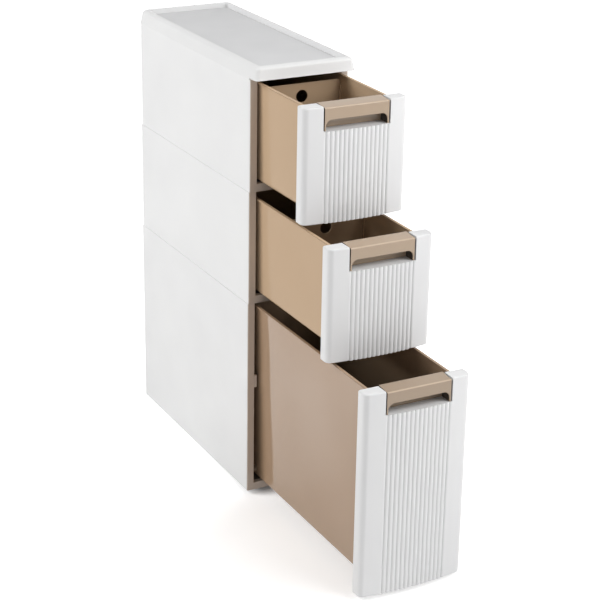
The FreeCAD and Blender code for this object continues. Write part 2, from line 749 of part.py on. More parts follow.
def reeds(body, tier):
    """Grooves with rounded flanks, turned about the axis of the bow, that leave reeds between them."""
    turn = GROOVE_TURN[tier]
    half = "(dims.groove_pitch / 2 - dims.reed_land / 2)"
    flank = f"(({half} ^ 2 + dims.groove_depth ^ 2) / (2 * dims.groove_depth))"
    groove = new_sketch(body, "XY")
    upright = FreeCAD.Rotation(FreeCAD.Vector(0, 0, 1), 1)
    groove.AttachmentOffset = FreeCAD.Placement(FreeCAD.Vector(), upright)
    groove.setExpression("AttachmentOffset.Base.y", f"{BOW_RADIUS[tier]} - dims.front_depth")
    groove.setExpression("AttachmentOffset.Rotation.Angle", f"-{turn} * (dims.groove_count - 1) / 2")
    face = f"-{BOW_RADIUS[tier]}"
    valley = f"{face} + dims.groove_depth"
    sweep = f"asin({half} / {flank}) / 2"
    bulge_x = f"({half} - {flank} * sin({sweep}))"
    bulge_y = f"({face} + {flank} * (1 - cos({sweep})))"
    outline(groove, [
        (f"-{half}", face, f"-{bulge_x}", bulge_y, flank),
        ("0", valley, bulge_x, bulge_y, flank),
        (half, face),
        (half, f"{face} - dims.groove_depth"),
        (f"-{half}", f"{face} - dims.groove_depth"),
    ])
    first = cut(body, groove, FRONT_HEIGHT[tier], backward=True)
    pattern = body.newObject("PartDesign::PolarPattern", f"{body.Label}_reeds")
    pattern.Originals = [first]
    pattern.Axis = (groove, ["N_Axis"])
    pattern.setExpression("Angle", f"{turn} * (dims.groove_count - 1)")
    pattern.setExpression("Occurrences", "dims.groove_count")
    body.Tip = pattern
    doc.recompute()


def drawer_front(tier):
    """A hollow shell with a bowed, reeded face, and a notch at the top for the grip."""
    body = new_body(f"{tier}_drawer_front", y=f"{FRONT} - {OPENING[tier]}", z=FRONT_LEVEL[tier])
    tall = FRONT_HEIGHT[tier]
    half = FRONT_HALF[tier]
    edge_y = "-dims.front_edge_depth"
    plan = new_sketch(body, "XY")
    outline(plan, [
        (f"-{half}", "0"),
        (half, "0"),
        (half, edge_y, "0", "-dims.front_depth", BOW_RADIUS[tier]),
        (f"-{half}", edge_y),
    ])
    add(body, plan, tall)
    outer = value(half)

    def front_corner(middle, edge):
        return near(abs(middle.x), outer) and middle.y < -1 and runs_along(edge, "z")

    round_edges(body, "dims.front_corner", front_corner)
    reeds(body, tier)
    notch = new_sketch(body, "XZ")
    notch_half = "dims.notch_width / 2"
    rectangle(notch, f"-{notch_half}", notch_half, f"{tall} - dims.notch_depth", tall)
    cut(body, notch, "dims.front_depth", backward=True)
    crest = value(tall)

    def stile_top(middle, edge):
        return near(middle.z, crest) and middle.y < -1 and not near(abs(middle.x), value(notch_half))

    round_edges(body, "dims.front_round", stile_top)
    skin = "(dims.front_wall + dims.groove_depth)"
    inner = f"({half} - dims.front_wall)"
    inner_bow = f"(({inner} ^ 2 + {BOW} ^ 2) / (2 * {BOW}))"
    ledge = f"({tall} - dims.notch_depth - dims.front_wall)"
    chest = new_sketch(body, "XY", "dims.front_wall")
    outline(chest, [
        (f"-{inner}", "0"),
        (inner, "0"),
        (inner, f"{skin} - dims.front_edge_depth", "0", f"{skin} - dims.front_depth", inner_bow),
        (f"-{inner}", f"{skin} - dims.front_edge_depth"),
    ])
    cut(body, chest, f"{ledge} - dims.front_wall", backward=True)
    stiles = new_sketch(body, "XY", ledge)
    for sign in SIDES.values():
        rectangle(
            stiles,
            f"{sign} * ({notch_half} + dims.front_wall)",
            f"{sign} * {inner}",
            "0",
            f"{skin} - dims.front_edge_depth",
        )
    cut(body, stiles, "dims.notch_depth", backward=True)
    return body


def drawer_grip(tier):
    """A hooded handle in the notch of a front, hooked over the front wall of the box."""
    level = f"{FRONT_LEVEL[tier]} + {FRONT_HEIGHT[tier]} - dims.notch_depth + dims.join_gap"
    body = new_body(f"{tier}_drawer_grip", y=f"{FRONT} - {OPENING[tier]}", z=level)
    tall = "(dims.notch_depth - dims.join_gap)"
    brow = f"({tall} - dims.grip_slope)"
    over_rim = f"({tall} - dims.front_rise + dims.slide_gap)"
    behind = "(dims.drawer_wall + dims.slide_gap)"
    hook = f"({behind} + dims.hook_wall)"
    width = "(dims.notch_width - 2 * dims.grip_gap)"
    side = new_sketch(body, "YZ")
    outline(side, [
        ("0", "0"),
        ("-dims.grip_depth", "0"),
        ("-dims.grip_depth", brow),
        ("0", tall),
        (hook, tall),
        (hook, f"{tall} - dims.hook_drop"),
        (behind, f"{tall} - dims.hook_drop"),
        (behind, over_rim),
        ("0", over_rim),
    ])
    add(body, side, width, both_ways=True)
    cheek = f"({width} / 2 - dims.grip_wall)"
    pocket = new_sketch(body, "XY")
    rectangle(pocket, f"-{cheek}", cheek, "-dims.grip_wall", "dims.grip_wall - dims.grip_depth")
    cut(body, pocket, f"{brow} - dims.grip_wall", backward=True)
    mouth = new_sketch(body, "XZ", "dims.grip_depth - dims.grip_wall")
    mouth_top = f"({brow} - dims.hood_height)"
    rectangle(mouth, f"-{cheek}", cheek, "0", mouth_top)
    cut(body, mouth, "dims.grip_wall", backward=True)
    lintel = value(mouth_top)
    side_x = value(cheek)

    def mouth_corner(middle, edge):
        return near(middle.z, lintel) and near(abs(middle.x), side_x) and runs_along(edge, "y")

    round_edges(body, "dims.finger_corner", mouth_corner)
    return body


pieces = [top_cover(), top_mat()]
for tier in TIERS:
    pieces += [side_panel(tier, side) for side in SIDES]
    pieces += [back_panel(tier), front_frame(tier)]
spigot = "-dims.spigot_depth"
pieces += [shelf("middle", "middle_shelf", spigot), shelf("top", "top_shelf", spigot)]
pieces += [base_tray(), guide_clips()]
for tier in TIERS:
    pieces += [drawer_box(tier), drawer_front(tier), drawer_grip(tier)]
pieces += [divider("middle"), divider("top")]
for corner in CORNERS:
    pieces += [wheel_bracket(corner), wheel(corner)]
pieces.append(wheel_axles())
doc.recompute()

# A group holds one solid for each of its members, every other piece is one solid
SOLIDS = {"guide_clips": len(SIDES), "wheel_axles": len(CORNERS)}
for item in doc.Objects:
    if "Invalid" in item.State or "Error" in item.State:
        raise RuntimeError(f"{item.Label} failed to compute")
for piece in pieces:
    if piece.Shape.isNull() or not piece.Shape.isValid():
        raise RuntimeError(f"{piece.Label} has no valid shape")
    if len(piece.Shape.Solids) != SOLIDS.get(piece.Label, 1):
        raise RuntimeError(f"{piece.Label} has {len(piece.Shape.Solids)} solids")

os.makedirs("parts", exist_ok=True)
for piece in pieces:
    piece.Shape.exportStep(f"parts/{piece.Label}.step")
print(len(pieces), "pieces written")
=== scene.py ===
# %% [markdown]
# # A slim rolling storage cart, dressed for the studio
# The cart is a narrow plastic tower: three white casing tiers stacked on small wheels, each with a taupe
# drawer behind a white reeded front, and a rimmed lid on top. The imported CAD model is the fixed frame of
# this lesson. Every piece made here sits where the frame says and moves with one of its bodies. The sizes
# of the pieces are written in millimetres, and MM turns them into metres.

# %% Load the frame
import math

import bmesh
import bpy
from mathutils import Matrix, Vector


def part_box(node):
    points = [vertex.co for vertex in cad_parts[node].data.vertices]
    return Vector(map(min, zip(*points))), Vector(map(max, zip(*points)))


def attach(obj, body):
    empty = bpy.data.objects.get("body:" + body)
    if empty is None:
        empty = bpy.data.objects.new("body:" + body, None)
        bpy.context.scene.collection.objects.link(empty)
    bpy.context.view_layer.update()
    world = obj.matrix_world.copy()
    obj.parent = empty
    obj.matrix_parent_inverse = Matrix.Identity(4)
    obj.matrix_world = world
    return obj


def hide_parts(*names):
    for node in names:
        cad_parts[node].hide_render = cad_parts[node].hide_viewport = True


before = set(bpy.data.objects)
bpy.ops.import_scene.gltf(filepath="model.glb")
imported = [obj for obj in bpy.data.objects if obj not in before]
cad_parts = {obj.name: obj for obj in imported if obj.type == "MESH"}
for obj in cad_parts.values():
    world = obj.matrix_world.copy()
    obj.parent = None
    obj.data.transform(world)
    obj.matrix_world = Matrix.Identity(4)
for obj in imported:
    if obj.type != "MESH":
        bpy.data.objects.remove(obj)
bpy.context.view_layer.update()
MM = 0.001
TIERS = ["bottom", "middle", "top"]

# %% [markdown]
# ## The camera
# A picture of a box tells where its camera stood. The corners of the casing and of the drawer fronts were
# matched with the sizes of the model, which gives one direction, one distance and one lens. The camera is
# built from those numbers as a matrix of three axes, because that also holds the slight roll of the
# picture.

# %% Place the camera
AZIMUTH, ELEVATION, ROLL = math.radians(-28.1704), math.radians(21.7635), math.radians(0.9749)
DISTANCE, TARGET = 3.14909, Vector((0.007458, -0.238, 0.370995))
LENS, SENSOR = 104.873, 36


def place_camera():
    """A camera that looks at the target from an angle, with its own roll."""
    back = Vector((
        math.sin(AZIMUTH) * math.cos(ELEVATION),
        -math.cos(AZIMUTH) * math.cos(ELEVATION),
        math.sin(ELEVATION),
    ))
    right = (-back).cross(Vector((0, 0, 1))).normalized()
    up = back.cross(right)
    across = math.cos(ROLL) * right + math.sin(ROLL) * up
    upward = math.cos(ROLL) * up - math.sin(ROLL) * right
    lens = bpy.data.cameras.new("camera")
    lens.lens = LENS
    lens.sensor_width = SENSOR
    camera = bpy.data.objects.new("camera", lens)
    bpy.context.scene.collection.objects.link(camera)
    turn = Matrix((across, upward, back)).transposed().to_4x4()
    camera.matrix_world = Matrix.Translation(TARGET + DISTANCE * back) @ turn
    bpy.context.scene.camera = camera
    return camera


camera = place_camera()
print("camera at", [round(c, 3) for c in camera.matrix_world.translation])

# %% [markdown]
# ## Moulded plastic
# Injection-moulded plastic is never one flat colour. The melt leaves faint clouds, the steel mould leaves a
# fine grain, and large walls cool with a slight waviness that shows in their reflections. One recipe makes
# all the plastics of the cart: two near tints blended by a broad noise, a roughness that wanders a little,
# a fine grain and a broad warp as bump. All patterns read Object coordinates, so they stay put when a
# drawer moves.

# %% The recipe for moulded plastic
NOISE_LOW, NOISE_HIGH = 0.3, 0.7
CLOUD_WAVES, PATCH_WAVES, WARP_WAVES, GRAIN_WAVES = 6, 16, 4.5, 1400
GRAIN_STRENGTH = 0.6


def add_node(tree, kind, inputs=None, **settings):
    """A shader node with its settings made and its sockets filled from values or other sockets."""
    made = tree.nodes.new(kind)
    for name, setting in settings.items():
        setattr(made, name, setting)
    for socket, source in (inputs or {}).items():
        if isinstance(source, bpy.types.NodeSocket):
            tree.links.new(source, made.inputs[socket])
        else:
            made.inputs[socket].default_value = source
    return made


def noise(tree, place, scale, detail=2.0):
    """The grey value of a noise pattern, scale in waves for each metre."""
    inputs = {"Vector": place, "Scale": scale, "Detail": detail}
    return add_node(tree, "ShaderNodeTexNoise", inputs).outputs["Fac"]


def spread(tree, factor, low, high):
    """The middle part of a noise, stretched from low to high."""
    inputs = {"Value": factor, "From Min": NOISE_LOW, "From Max": NOISE_HIGH, "To Min": low, "To Max": high}
    return add_node(tree, "ShaderNodeMapRange", inputs).outputs["Result"]


def blend(tree, factor, first, second):
    """Two colours mixed by a factor."""
    return add_node(tree, "ShaderNodeMix", {0: factor, 6: first, 7: second}, data_type="RGBA").outputs[2]


def moulded(
    name, light, dark, rough, grain, warp,
    cloud_waves=CLOUD_WAVES, grain_waves=GRAIN_WAVES, specular=0.5, painted_shade=None,
):
    """A plastic finish: two tints, a range of roughness, the depth of the grain and of the warp in mm.

    painted_shade gives the height at which the tint starts to sink into a darker one, over what depth, and
    that tint; it paints shade that deepens lower down.
    """
    material = bpy.data.materials.new(name)
    material.use_nodes = True
    tree = material.node_tree
    shader = tree.nodes["Principled BSDF"]
    place = add_node(tree, "ShaderNodeTexCoord").outputs["Object"]
    clouds = spread(tree, noise(tree, place, cloud_waves, 4), 0, 1)
    tint = blend(tree, clouds, (*light, 1), (*dark, 1))
    # Painted shade: the tint darkens below the given height.
    if painted_shade:
        rim, depth, deep = painted_shade
        level = add_node(tree, "ShaderNodeSeparateXYZ", {0: place}).outputs[2]
        inputs = {"Value": level, "From Min": rim, "From Max": rim - depth}
        sunk = add_node(tree, "ShaderNodeMapRange", inputs).outputs["Result"]
        tint = blend(tree, sunk, tint, (*deep, 1))
    tree.links.new(tint, shader.inputs["Base Color"])
    tree.links.new(spread(tree, noise(tree, place, PATCH_WAVES, 1), *rough), shader.inputs["Roughness"])
    broad = add_node(tree, "ShaderNodeBump", {
        "Height": noise(tree, place, WARP_WAVES, 0),
        "Distance": warp * MM,
        "Strength": 1.0,
    })
    fine = add_node(tree, "ShaderNodeBump", {
        "Height": noise(tree, place, grain_waves, 2),
        "Distance": grain * MM,
        "Strength": GRAIN_STRENGTH,
        "Normal": broad.outputs["Normal"],
    })
    tree.links.new(fine.outputs["Normal"], shader.inputs["Normal"])
    shader.inputs["Specular IOR Level"].default_value = specular
    return material


white_shell = moulded("white_shell", (0.82, 0.82, 0.815), (0.79, 0.79, 0.79), (0.34, 0.46), 0.006, 0.6)
white_front = moulded("white_front", (0.80, 0.80, 0.80), (0.775, 0.775, 0.78), (0.34, 0.46), 0.002, 0.3)
taupe_tray = moulded(
    "taupe_tray", (0.58, 0.415, 0.27), (0.555, 0.395, 0.255), (0.10, 0.15), 0.001, 5.0, specular=0.05
)
# The deep drawer's box is a darker copy of the taupe: painted shade, for the light that falls off lower down.
taupe_bin_painted_shade = moulded(
    "taupe_bin_painted_shade", (0.42, 0.285, 0.185), (0.40, 0.27, 0.175), (0.07, 0.11), 0.001, 13.0, specular=0.37
)
taupe_plate = moulded(
    "taupe_plate", (0.47, 0.34, 0.22), (0.45, 0.32, 0.21), (0.30, 0.40), 0.004, 0.5, specular=0.3
)
taupe_frame = moulded("taupe_frame", (0.56, 0.48, 0.415), (0.53, 0.455, 0.39), (0.40, 0.52), 0.008, 0.4)
# A dark brown for the shelves, the base tray and the inner faces of the panels: painted shade for the dim
# inside of the casing.
interior_painted_shade = moulded("interior_painted_shade", (0.16, 0.13, 0.105), (0.14, 0.115, 0.09), (0.45, 0.58), 0.008, 0.4)
grey_mat = moulded(
    "grey_mat", (0.69, 0.69, 0.697), (0.665, 0.666, 0.672), (0.42, 0.55), 0.03, 0.4, grain_waves=900
)
wheel_nylon = moulded(
    "wheel_nylon", (0.16, 0.155, 0.15), (0.13, 0.125, 0.12), (0.45, 0.60), 0.02, 0.1, cloud_waves=30
)
plastics = (
    white_shell, white_front, taupe_tray, taupe_bin_painted_shade, taupe_plate, taupe_frame, interior_painted_shade, grey_mat,
    wheel_nylon,
)
print("plastics:", [plastic.name for plastic in plastics])

# %% [markdown]
# ## Steel for the axles
# The axle pins are drawn steel with fine scratches round them. A noise that changes fast along the pin,
# which lies along X, and slowly across it gives such lines. Rings could be modelled, but they are finer
# than a hair.

# %% Drawn steel
SCRATCH_WAVES, SCRATCH_STRETCH = 3000, (1, 0.05, 0.05)


def drawn_steel(name):
    """A steel finish with fine lines round the pin."""
    material = bpy.data.materials.new(name)
    material.use_nodes = True
    tree = material.node_tree
    shader = tree.nodes["Principled BSDF"]
    place = add_node(tree, "ShaderNodeTexCoord").outputs["Object"]
    stretched = add_node(tree, "ShaderNodeMapping", {"Vector": place, "Scale": SCRATCH_STRETCH})
    lines = noise(tree, stretched.outputs["Vector"], SCRATCH_WAVES, 2)
    tint = blend(tree, lines, (0.62, 0.62, 0.63, 1), (0.45, 0.45, 0.46, 1))
    tree.links.new(tint, shader.inputs["Base Color"])
    tree.links.new(spread(tree, lines, 0.22, 0.4), shader.inputs["Roughness"])
    shader.inputs["Metallic"].default_value = 1.0
    return material


axle_steel = drawn_steel("axle_steel")
print("metal:", axle_steel.name)

# %% [markdown]
# ## Finishing a piece
# A real moulding has no knife edges. Each piece is first a clean mesh, then a Bevel modifier rounds its
# sharp edges and a Weighted Normal modifier keeps the flat faces flat in the light. Only outside corners
# get a bevel weight, because a rounded inside corner can push its neighbours over each other. The result is
# turned into a plain mesh, so that the piece can be exported, it gets its materials and is tied to its body,
# and the CAD node that it stands for is hidden.

# %% From a raw mesh to a finished piece


def finished(
    name, shape, material, body, node=None,
    edge=0.5, segments=2, sharp=35, share=None, linings=(), lined=None,
):
    """Round the outside corners of a bmesh by some millimetres, and hand the piece to the frame.

    share gives the part of the rounding that an edge gets, from the edge's middle. lined gives the number of
    a face's coat, from the face's centre and normal: 0 is the material, and the linings follow it.
    """
    corners = shape.edges.layers.float.new("bevel_weight_edge")
    for face in shape.faces:
        face.smooth = True
    for line in shape.edges:
        if len(line.link_faces) == 2 and line.calc_face_angle() > math.radians(sharp):
            middle = (line.verts[0].co + line.verts[1].co) / 2
            weight = (share(middle) if share else 1.0) if edge and line.is_convex else 0.0
            line[corners] = weight
            line.smooth = weight > 0
    raw = bpy.data.meshes.new(f"{name}_raw")
    shape.to_mesh(raw)
    shape.free()
    draft = bpy.data.objects.new(f"{name}_draft", raw)
    bpy.context.scene.collection.objects.link(draft)
    if edge:
        bevel = draft.modifiers.new("rounded_edges", "BEVEL")
        bevel.width = edge * MM
        bevel.segments = segments
        bevel.limit_method = "WEIGHT"
        bevel.use_clamp_overlap = False
    flat = draft.modifiers.new("flat_faces", "WEIGHTED_NORMAL")
    flat.keep_sharp = True
    evaluated = draft.evaluated_get(bpy.context.evaluated_depsgraph_get())
    mesh = bpy.data.meshes.new_from_object(evaluated)
    bpy.data.objects.remove(draft)
    mesh.name = name
    mesh.materials.clear()
    for coat in (material, *linings):
        mesh.materials.append(coat)
    if linings:
        for polygon in mesh.polygons:
            polygon.material_index = int(lined(polygon.center, polygon.normal))
    piece = bpy.data.objects.new(name, mesh)
    bpy.context.scene.collection.objects.link(piece)
    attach(piece, body)
    if node:
        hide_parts(node)
    return piece


MERGE_GAP, FLAT_WITHIN = 0.004 * MM, math.radians(0.4)


def copied(node):
    """A clean copy of a CAD node's mesh: corners merged, and flat facets joined into whole faces."""
    shape = bmesh.new()
    shape.from_mesh(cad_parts[node].data)
    bmesh.ops.remove_doubles(shape, verts=shape.verts, dist=MERGE_GAP)
    bmesh.ops.dissolve_limit(
        shape, angle_limit=FLAT_WITHIN, verts=shape.verts, edges=shape.edges, use_dissolve_boundaries=False
    )
    return shape


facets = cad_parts["top_shelf"].data.polygons
sample = copied("top_shelf")
print("top shelf:", len(facets), "facets joined into", len(sample.faces), "faces")
sample.free()

# %% [markdown]
# ## The drawer fronts
# The white fronts are what one looks at first. Each is a hollow shell with a gently bowed face: plain
# stiles left and right, and between them a field of upright reeds that runs down to the lower edge. The
# shell could be cut out of a block, but its face is a simple rule in plan, so the outline is walked point
# by point from the back left corner round to the back right one, and rings of that outline are stacked from
# the bottom to the top. Rings that draw in a little give the rounded lower edge and the soft top of the
# stiles. The back is then pushed in, which leaves a thin rim round a hollow.

# %% The outline of a front in plan
EDGE_DEPTH, BOW_DEPTH, CORNER = 22.0, 29.0, 10.5
NOTCH_HALF, NOTCH_DEPTH = 62.5, 41.4
REEDS, PITCH, GROOVE, LAND = 14, 8.3, 2.25, 0.8
FIELD_HALF = REEDS * PITCH / 2
FLANK = PITCH / 2 - LAND / 2
STILE_STEPS, CORNER_STEPS = 5, 8


def at_notch(x):
    """Whether a point of the outline is at a side of the notch."""
    return abs(abs(x) - NOTCH_HALF) < 1e-6


def front_outline(half):
    """Points (x, depth) in mm along the outside of a front, and the direction that is outwards at each."""
    bow = BOW_DEPTH - EDGE_DEPTH
    radius = (half ** 2 + bow ** 2) / (2 * bow)
    centre = BOW_DEPTH - radius
    corner_x = half - CORNER
    corner_depth = centre + math.sqrt((radius - CORNER) ** 2 - corner_x ** 2)
    turn = math.atan2(corner_x, corner_depth - centre)

    def face(x, sunk=0.0):
        return centre + math.sqrt((radius - sunk) ** 2 - x ** 2)

    round_flank = (FLANK ** 2 + GROOVE ** 2) / (2 * GROOVE)
    right = [(PITCH * k / 2, face(PITCH * k / 2, GROOVE)) for k in range(1, REEDS + 1)]
    for share in (0.2, 0.4, 0.6, 0.8, 1.0):
        away = FLANK * (1 - share)
        sunk = round_flank - math.sqrt(round_flank ** 2 - away ** 2)
        right.append((FIELD_HALF + FLANK * share, face(FIELD_HALF + FLANK * share, sunk)))
    right.append((NOTCH_HALF, face(NOTCH_HALF)))
    tangent = radius * math.sin(turn)
    for k in range(1, STILE_STEPS):
        x = NOTCH_HALF + (tangent - NOTCH_HALF) * k / STILE_STEPS
        right.append((x, face(x)))
    for k in range(CORNER_STEPS + 1):
        angle = turn + (math.pi / 2 - turn) * k / CORNER_STEPS
        right.append((corner_x + CORNER * math.sin(angle), corner_depth + CORNER * math.cos(angle)))
    right.append((half, 0.0))
    left = [(-x, depth) for x, depth in reversed(right)]
    points = left + [(0.0, face(0.0, GROOVE))] + right
    outwards = []
    for index, (x, _) in enumerate(points):
        before = points[max(index - 1, 0)]
        after = points[min(index + 1, len(points) - 1)]
        run = Vector((after[0] - before[0], after[1] - before[1])).normalized()
        outwards.append(Vector((0.0, 1.0)) if at_notch(x) else Vector((-run.y, run.x)))
    outwards[0], outwards[-1] = Vector((-1.0, 0.0)), Vector((1.0, 0.0))
    return points, outwards, radius


for tier in TIERS:
    low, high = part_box(f"{tier}_drawer_front")
    points, _, bow_radius = front_outline((high.x - low.x) / 2 / MM)
    print(f"{tier} front outline:", len(points), "points, bow radius", round(bow_radius), "mm")

# %% Stack the outline into a shell
FOOT_ROUND, LEDGE_ROUND, HEAD_ROUND = 1.6, 1.0, 3.0
RIM_WALL, HOLLOW_DEPTH, RIM_BAND = 1.4, 14, 0.5


def rounding(radius, steps):
    """Pairs (draw in, rise) along a quarter circle that starts at the tip of the edge."""
    angles = [math.pi / 2 * k / steps for k in range(steps + 1)]
    return [(radius * (1 - math.sin(a)), radius * (1 - math.cos(a))) for a in angles]


def front_shell(tier):
    """The hollow white front of one drawer, with the notch for its grip."""
    low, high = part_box(f"{tier}_drawer_front")
    tall = (high.z - low.z) / MM
    points, outwards, _ = front_outline((high.x - low.x) / 2 / MM)
    notch = [k for k, (x, _) in enumerate(points) if at_notch(x)]
    ledge = tall - NOTCH_DEPTH
    shape = bmesh.new()

    def vertex(x, depth, z):
        return shape.verts.new((x * MM, high.y - depth * MM, low.z + z * MM))

    def ring(draw_in, z, first, last):
        spots = zip(points[first:last + 1], outwards[first:last + 1])
        return [vertex(x - n.x * draw_in, max(d - n.y * draw_in, 0.0), z) for (x, d), n in spots]

    def skin(lower, upper):
        for k in range(len(lower) - 1):
            shape.faces.new((lower[k], lower[k + 1], upper[k + 1], upper[k]))

    end = len(points) - 1
    rows = [ring(draw_in, rise, 0, end) for draw_in, rise in rounding(FOOT_ROUND, 4)]
    rows.append(ring(0.0, ledge - LEDGE_ROUND, 0, end))
    for lower, upper in zip(rows, rows[1:]):
        skin(lower, upper)
    shape.faces.new(list(reversed(rows[0])))
    belt = rows[-1]
    left_back = [row[0] for row in rows]
    right_back = [row[-1] for row in rows]
    field = [belt[notch[0]:notch[1] + 1]]
    soft_ledge = reversed(rounding(LEDGE_ROUND, 3)[:-1])
    field += [ring(draw_in, ledge - rise, *notch) for draw_in, rise in soft_ledge]
    for lower, upper in zip(field, field[1:]):
        skin(lower, upper)
    sill = [vertex(-NOTCH_HALF, 0.0, ledge), vertex(NOTCH_HALF, 0.0, ledge)]
    shape.faces.new(field[-1] + [sill[1], sill[0]])
    heads = []
    for side, (first, last) in enumerate(((0, notch[0]), (notch[1], end))):
        inner, outer = ((-1, 0), (0, -1))[side]
        stile = [belt[first:last + 1]]
        soft_head = reversed(rounding(HEAD_ROUND, 5))
        stile += [ring(draw_in, tall - rise, first, last) for draw_in, rise in soft_head]
        for lower, upper in zip(stile, stile[1:]):
            skin(lower, upper)
        head = vertex((-NOTCH_HALF, NOTCH_HALF)[side], 0.0, tall)
        heads.append(head)
        shape.faces.new(stile[-1] + [head])
        wall = [row[inner] for row in stile] + [head, sill[side]]
        wall += [row[outer] for row in reversed(field[1:])]
        shape.faces.new(wall)
        (left_back, right_back)[side].extend(row[outer] for row in stile[1:])
    back = left_back + [heads[0], sill[0], sill[1], heads[1]] + list(reversed(right_back))
    rear = shape.faces.new(back)
    bmesh.ops.recalc_face_normals(shape, faces=shape.faces)
    bmesh.ops.inset_individual(shape, faces=[rear], thickness=RIM_WALL * MM, depth=0.0)
    floor = bmesh.ops.extrude_discrete_faces(shape, faces=[rear])["faces"][0]
    bmesh.ops.translate(shape, verts=floor.verts, vec=(0, -HOLLOW_DEPTH * MM, 0))
    return shape


fronts = {}
for tier in TIERS:
    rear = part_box(f"{tier}_drawer_front")[1].y

    def all_but_rim(middle):
        """No rounding on the rim at the back, which lies flat on the box."""
        return 0.0 if middle.y > rear - RIM_BAND * MM else 1.0

    fronts[tier] = finished(
        f"{tier}_front_shell", front_shell(tier), white_front, f"{tier}_drawer",
        f"{tier}_drawer_front", edge=0.6, sharp=50, share=all_but_rim,
    )
print("front shells:", {tier: len(piece.data.polygons) for tier, piece in fronts.items()})

# %% [markdown]
# ## The reeds
# Fourteen round reeds stand side by side on the bowed field. They repeat along an arc, which is the work of
# Geometry Nodes: one upright line gets a half-round profile, the bar is put on points along the bow, each
# turned to face outwards, and Realize Instances makes it one mesh. The profile starts as a circle whose
# lower half is pressed flat, and whose crest follows a power curve, so that the valleys between the reeds
# stay narrow and dark.

# %% A tree that lines up reeds on a bow
PROFILE_POINTS, CREST_POWER, SINK = 28, 2.3, 0.3


def reed_tree():
    """A Geometry Nodes group that makes reeds along an arc about an upright axis."""
    tree = bpy.data.node_groups.new("reeds_on_a_bow", "GeometryNodeTree")
    tree.interface.new_socket("Geometry", in_out="OUTPUT", socket_type="NodeSocketGeometry")
    kinds = {"Reeds": "Int", "Pitch": "Float", "Depth": "Float", "Sink": "Float", "Field Radius": "Float",
             "Axis Y": "Float", "Bottom": "Float", "Top": "Float", "Finish": "Material"}
    sockets = {}
    for name, kind in kinds.items():
        socket = tree.interface.new_socket(name, in_out="INPUT", socket_type=f"NodeSocket{kind}")
        sockets[name] = socket.identifier
    given = tree.nodes.new("NodeGroupInput").outputs

    def math_node(operation, first, second=0.0):
        return add_node(tree, "ShaderNodeMath", {0: first, 1: second}, operation=operation).outputs[0]

    def spot(x=0.0, y=0.0, z=0.0):
        return add_node(tree, "ShaderNodeCombineXYZ", {0: x, 1: y, 2: z}).outputs[0]

    ring = add_node(tree, "GeometryNodeCurvePrimitiveCircle", {"Resolution": PROFILE_POINTS, "Radius": 1.0})
    position = add_node(tree, "GeometryNodeInputPosition").outputs[0]
    place = add_node(tree, "ShaderNodeSeparateXYZ", {0: position})
    across = math_node("MULTIPLY", place.outputs[0], math_node("MULTIPLY", given["Pitch"], 0.5))
    fall = math_node("POWER", math_node("ABSOLUTE", place.outputs[0]), CREST_POWER)
    crest = math_node("MULTIPLY", math_node("SUBTRACT", 1.0, fall), given["Depth"])
    above = math_node("GREATER_THAN", place.outputs[1], 0.001)
    floor = math_node("MULTIPLY", math_node("SUBTRACT", above, 1.0), given["Sink"])
    rise = math_node("ADD", math_node("MULTIPLY", crest, above), floor)
    profile = add_node(tree, "GeometryNodeSetPosition", {
        "Geometry": ring.outputs["Curve"],
        "Position": spot(across, math_node("MULTIPLY", rise, -1.0)),
    })
    line = add_node(tree, "GeometryNodeCurvePrimitiveLine", {
        "Start": spot(z=given["Bottom"]),
        "End": spot(z=given["Top"]),
    })
    bar = add_node(tree, "GeometryNodeCurveToMesh", {
        "Curve": line.outputs["Curve"],
        "Profile Curve": profile.outputs["Geometry"],
        "Fill Caps": True,
    })
    count = math_node("SUBTRACT", given["Reeds"], 1.0)
    index = add_node(tree, "GeometryNodeInputIndex").outputs[0]
    step = math_node("DIVIDE", given["Pitch"], given["Field Radius"])
    angle = math_node("MULTIPLY", math_node("SUBTRACT", index, math_node("MULTIPLY", count, 0.5)), step)
    beside = math_node("MULTIPLY", math_node("SINE", angle), given["Field Radius"])
    before = math_node("MULTIPLY", math_node("COSINE", angle), given["Field Radius"])
    points = add_node(tree, "GeometryNodePoints", {
        "Count": given["Reeds"],
        "Position": spot(beside, math_node("SUBTRACT", given["Axis Y"], before)),
    })
    standing = add_node(tree, "GeometryNodeInstanceOnPoints", {
        "Points": points.outputs[0],
        "Instance": bar.outputs["Mesh"],
        "Rotation": spot(z=angle),
    })
    whole = add_node(tree, "GeometryNodeRealizeInstances", {"Geometry": standing.outputs["Instances"]})
    coated = add_node(tree, "GeometryNodeSetMaterial", {
        "Geometry": whole.outputs["Geometry"],
        "Material": given["Finish"],
    })
    add_node(tree, "NodeGroupOutput", {"Geometry": coated.outputs["Geometry"]})
    return tree, sockets


reeds_on_a_bow, reed_sockets = reed_tree()


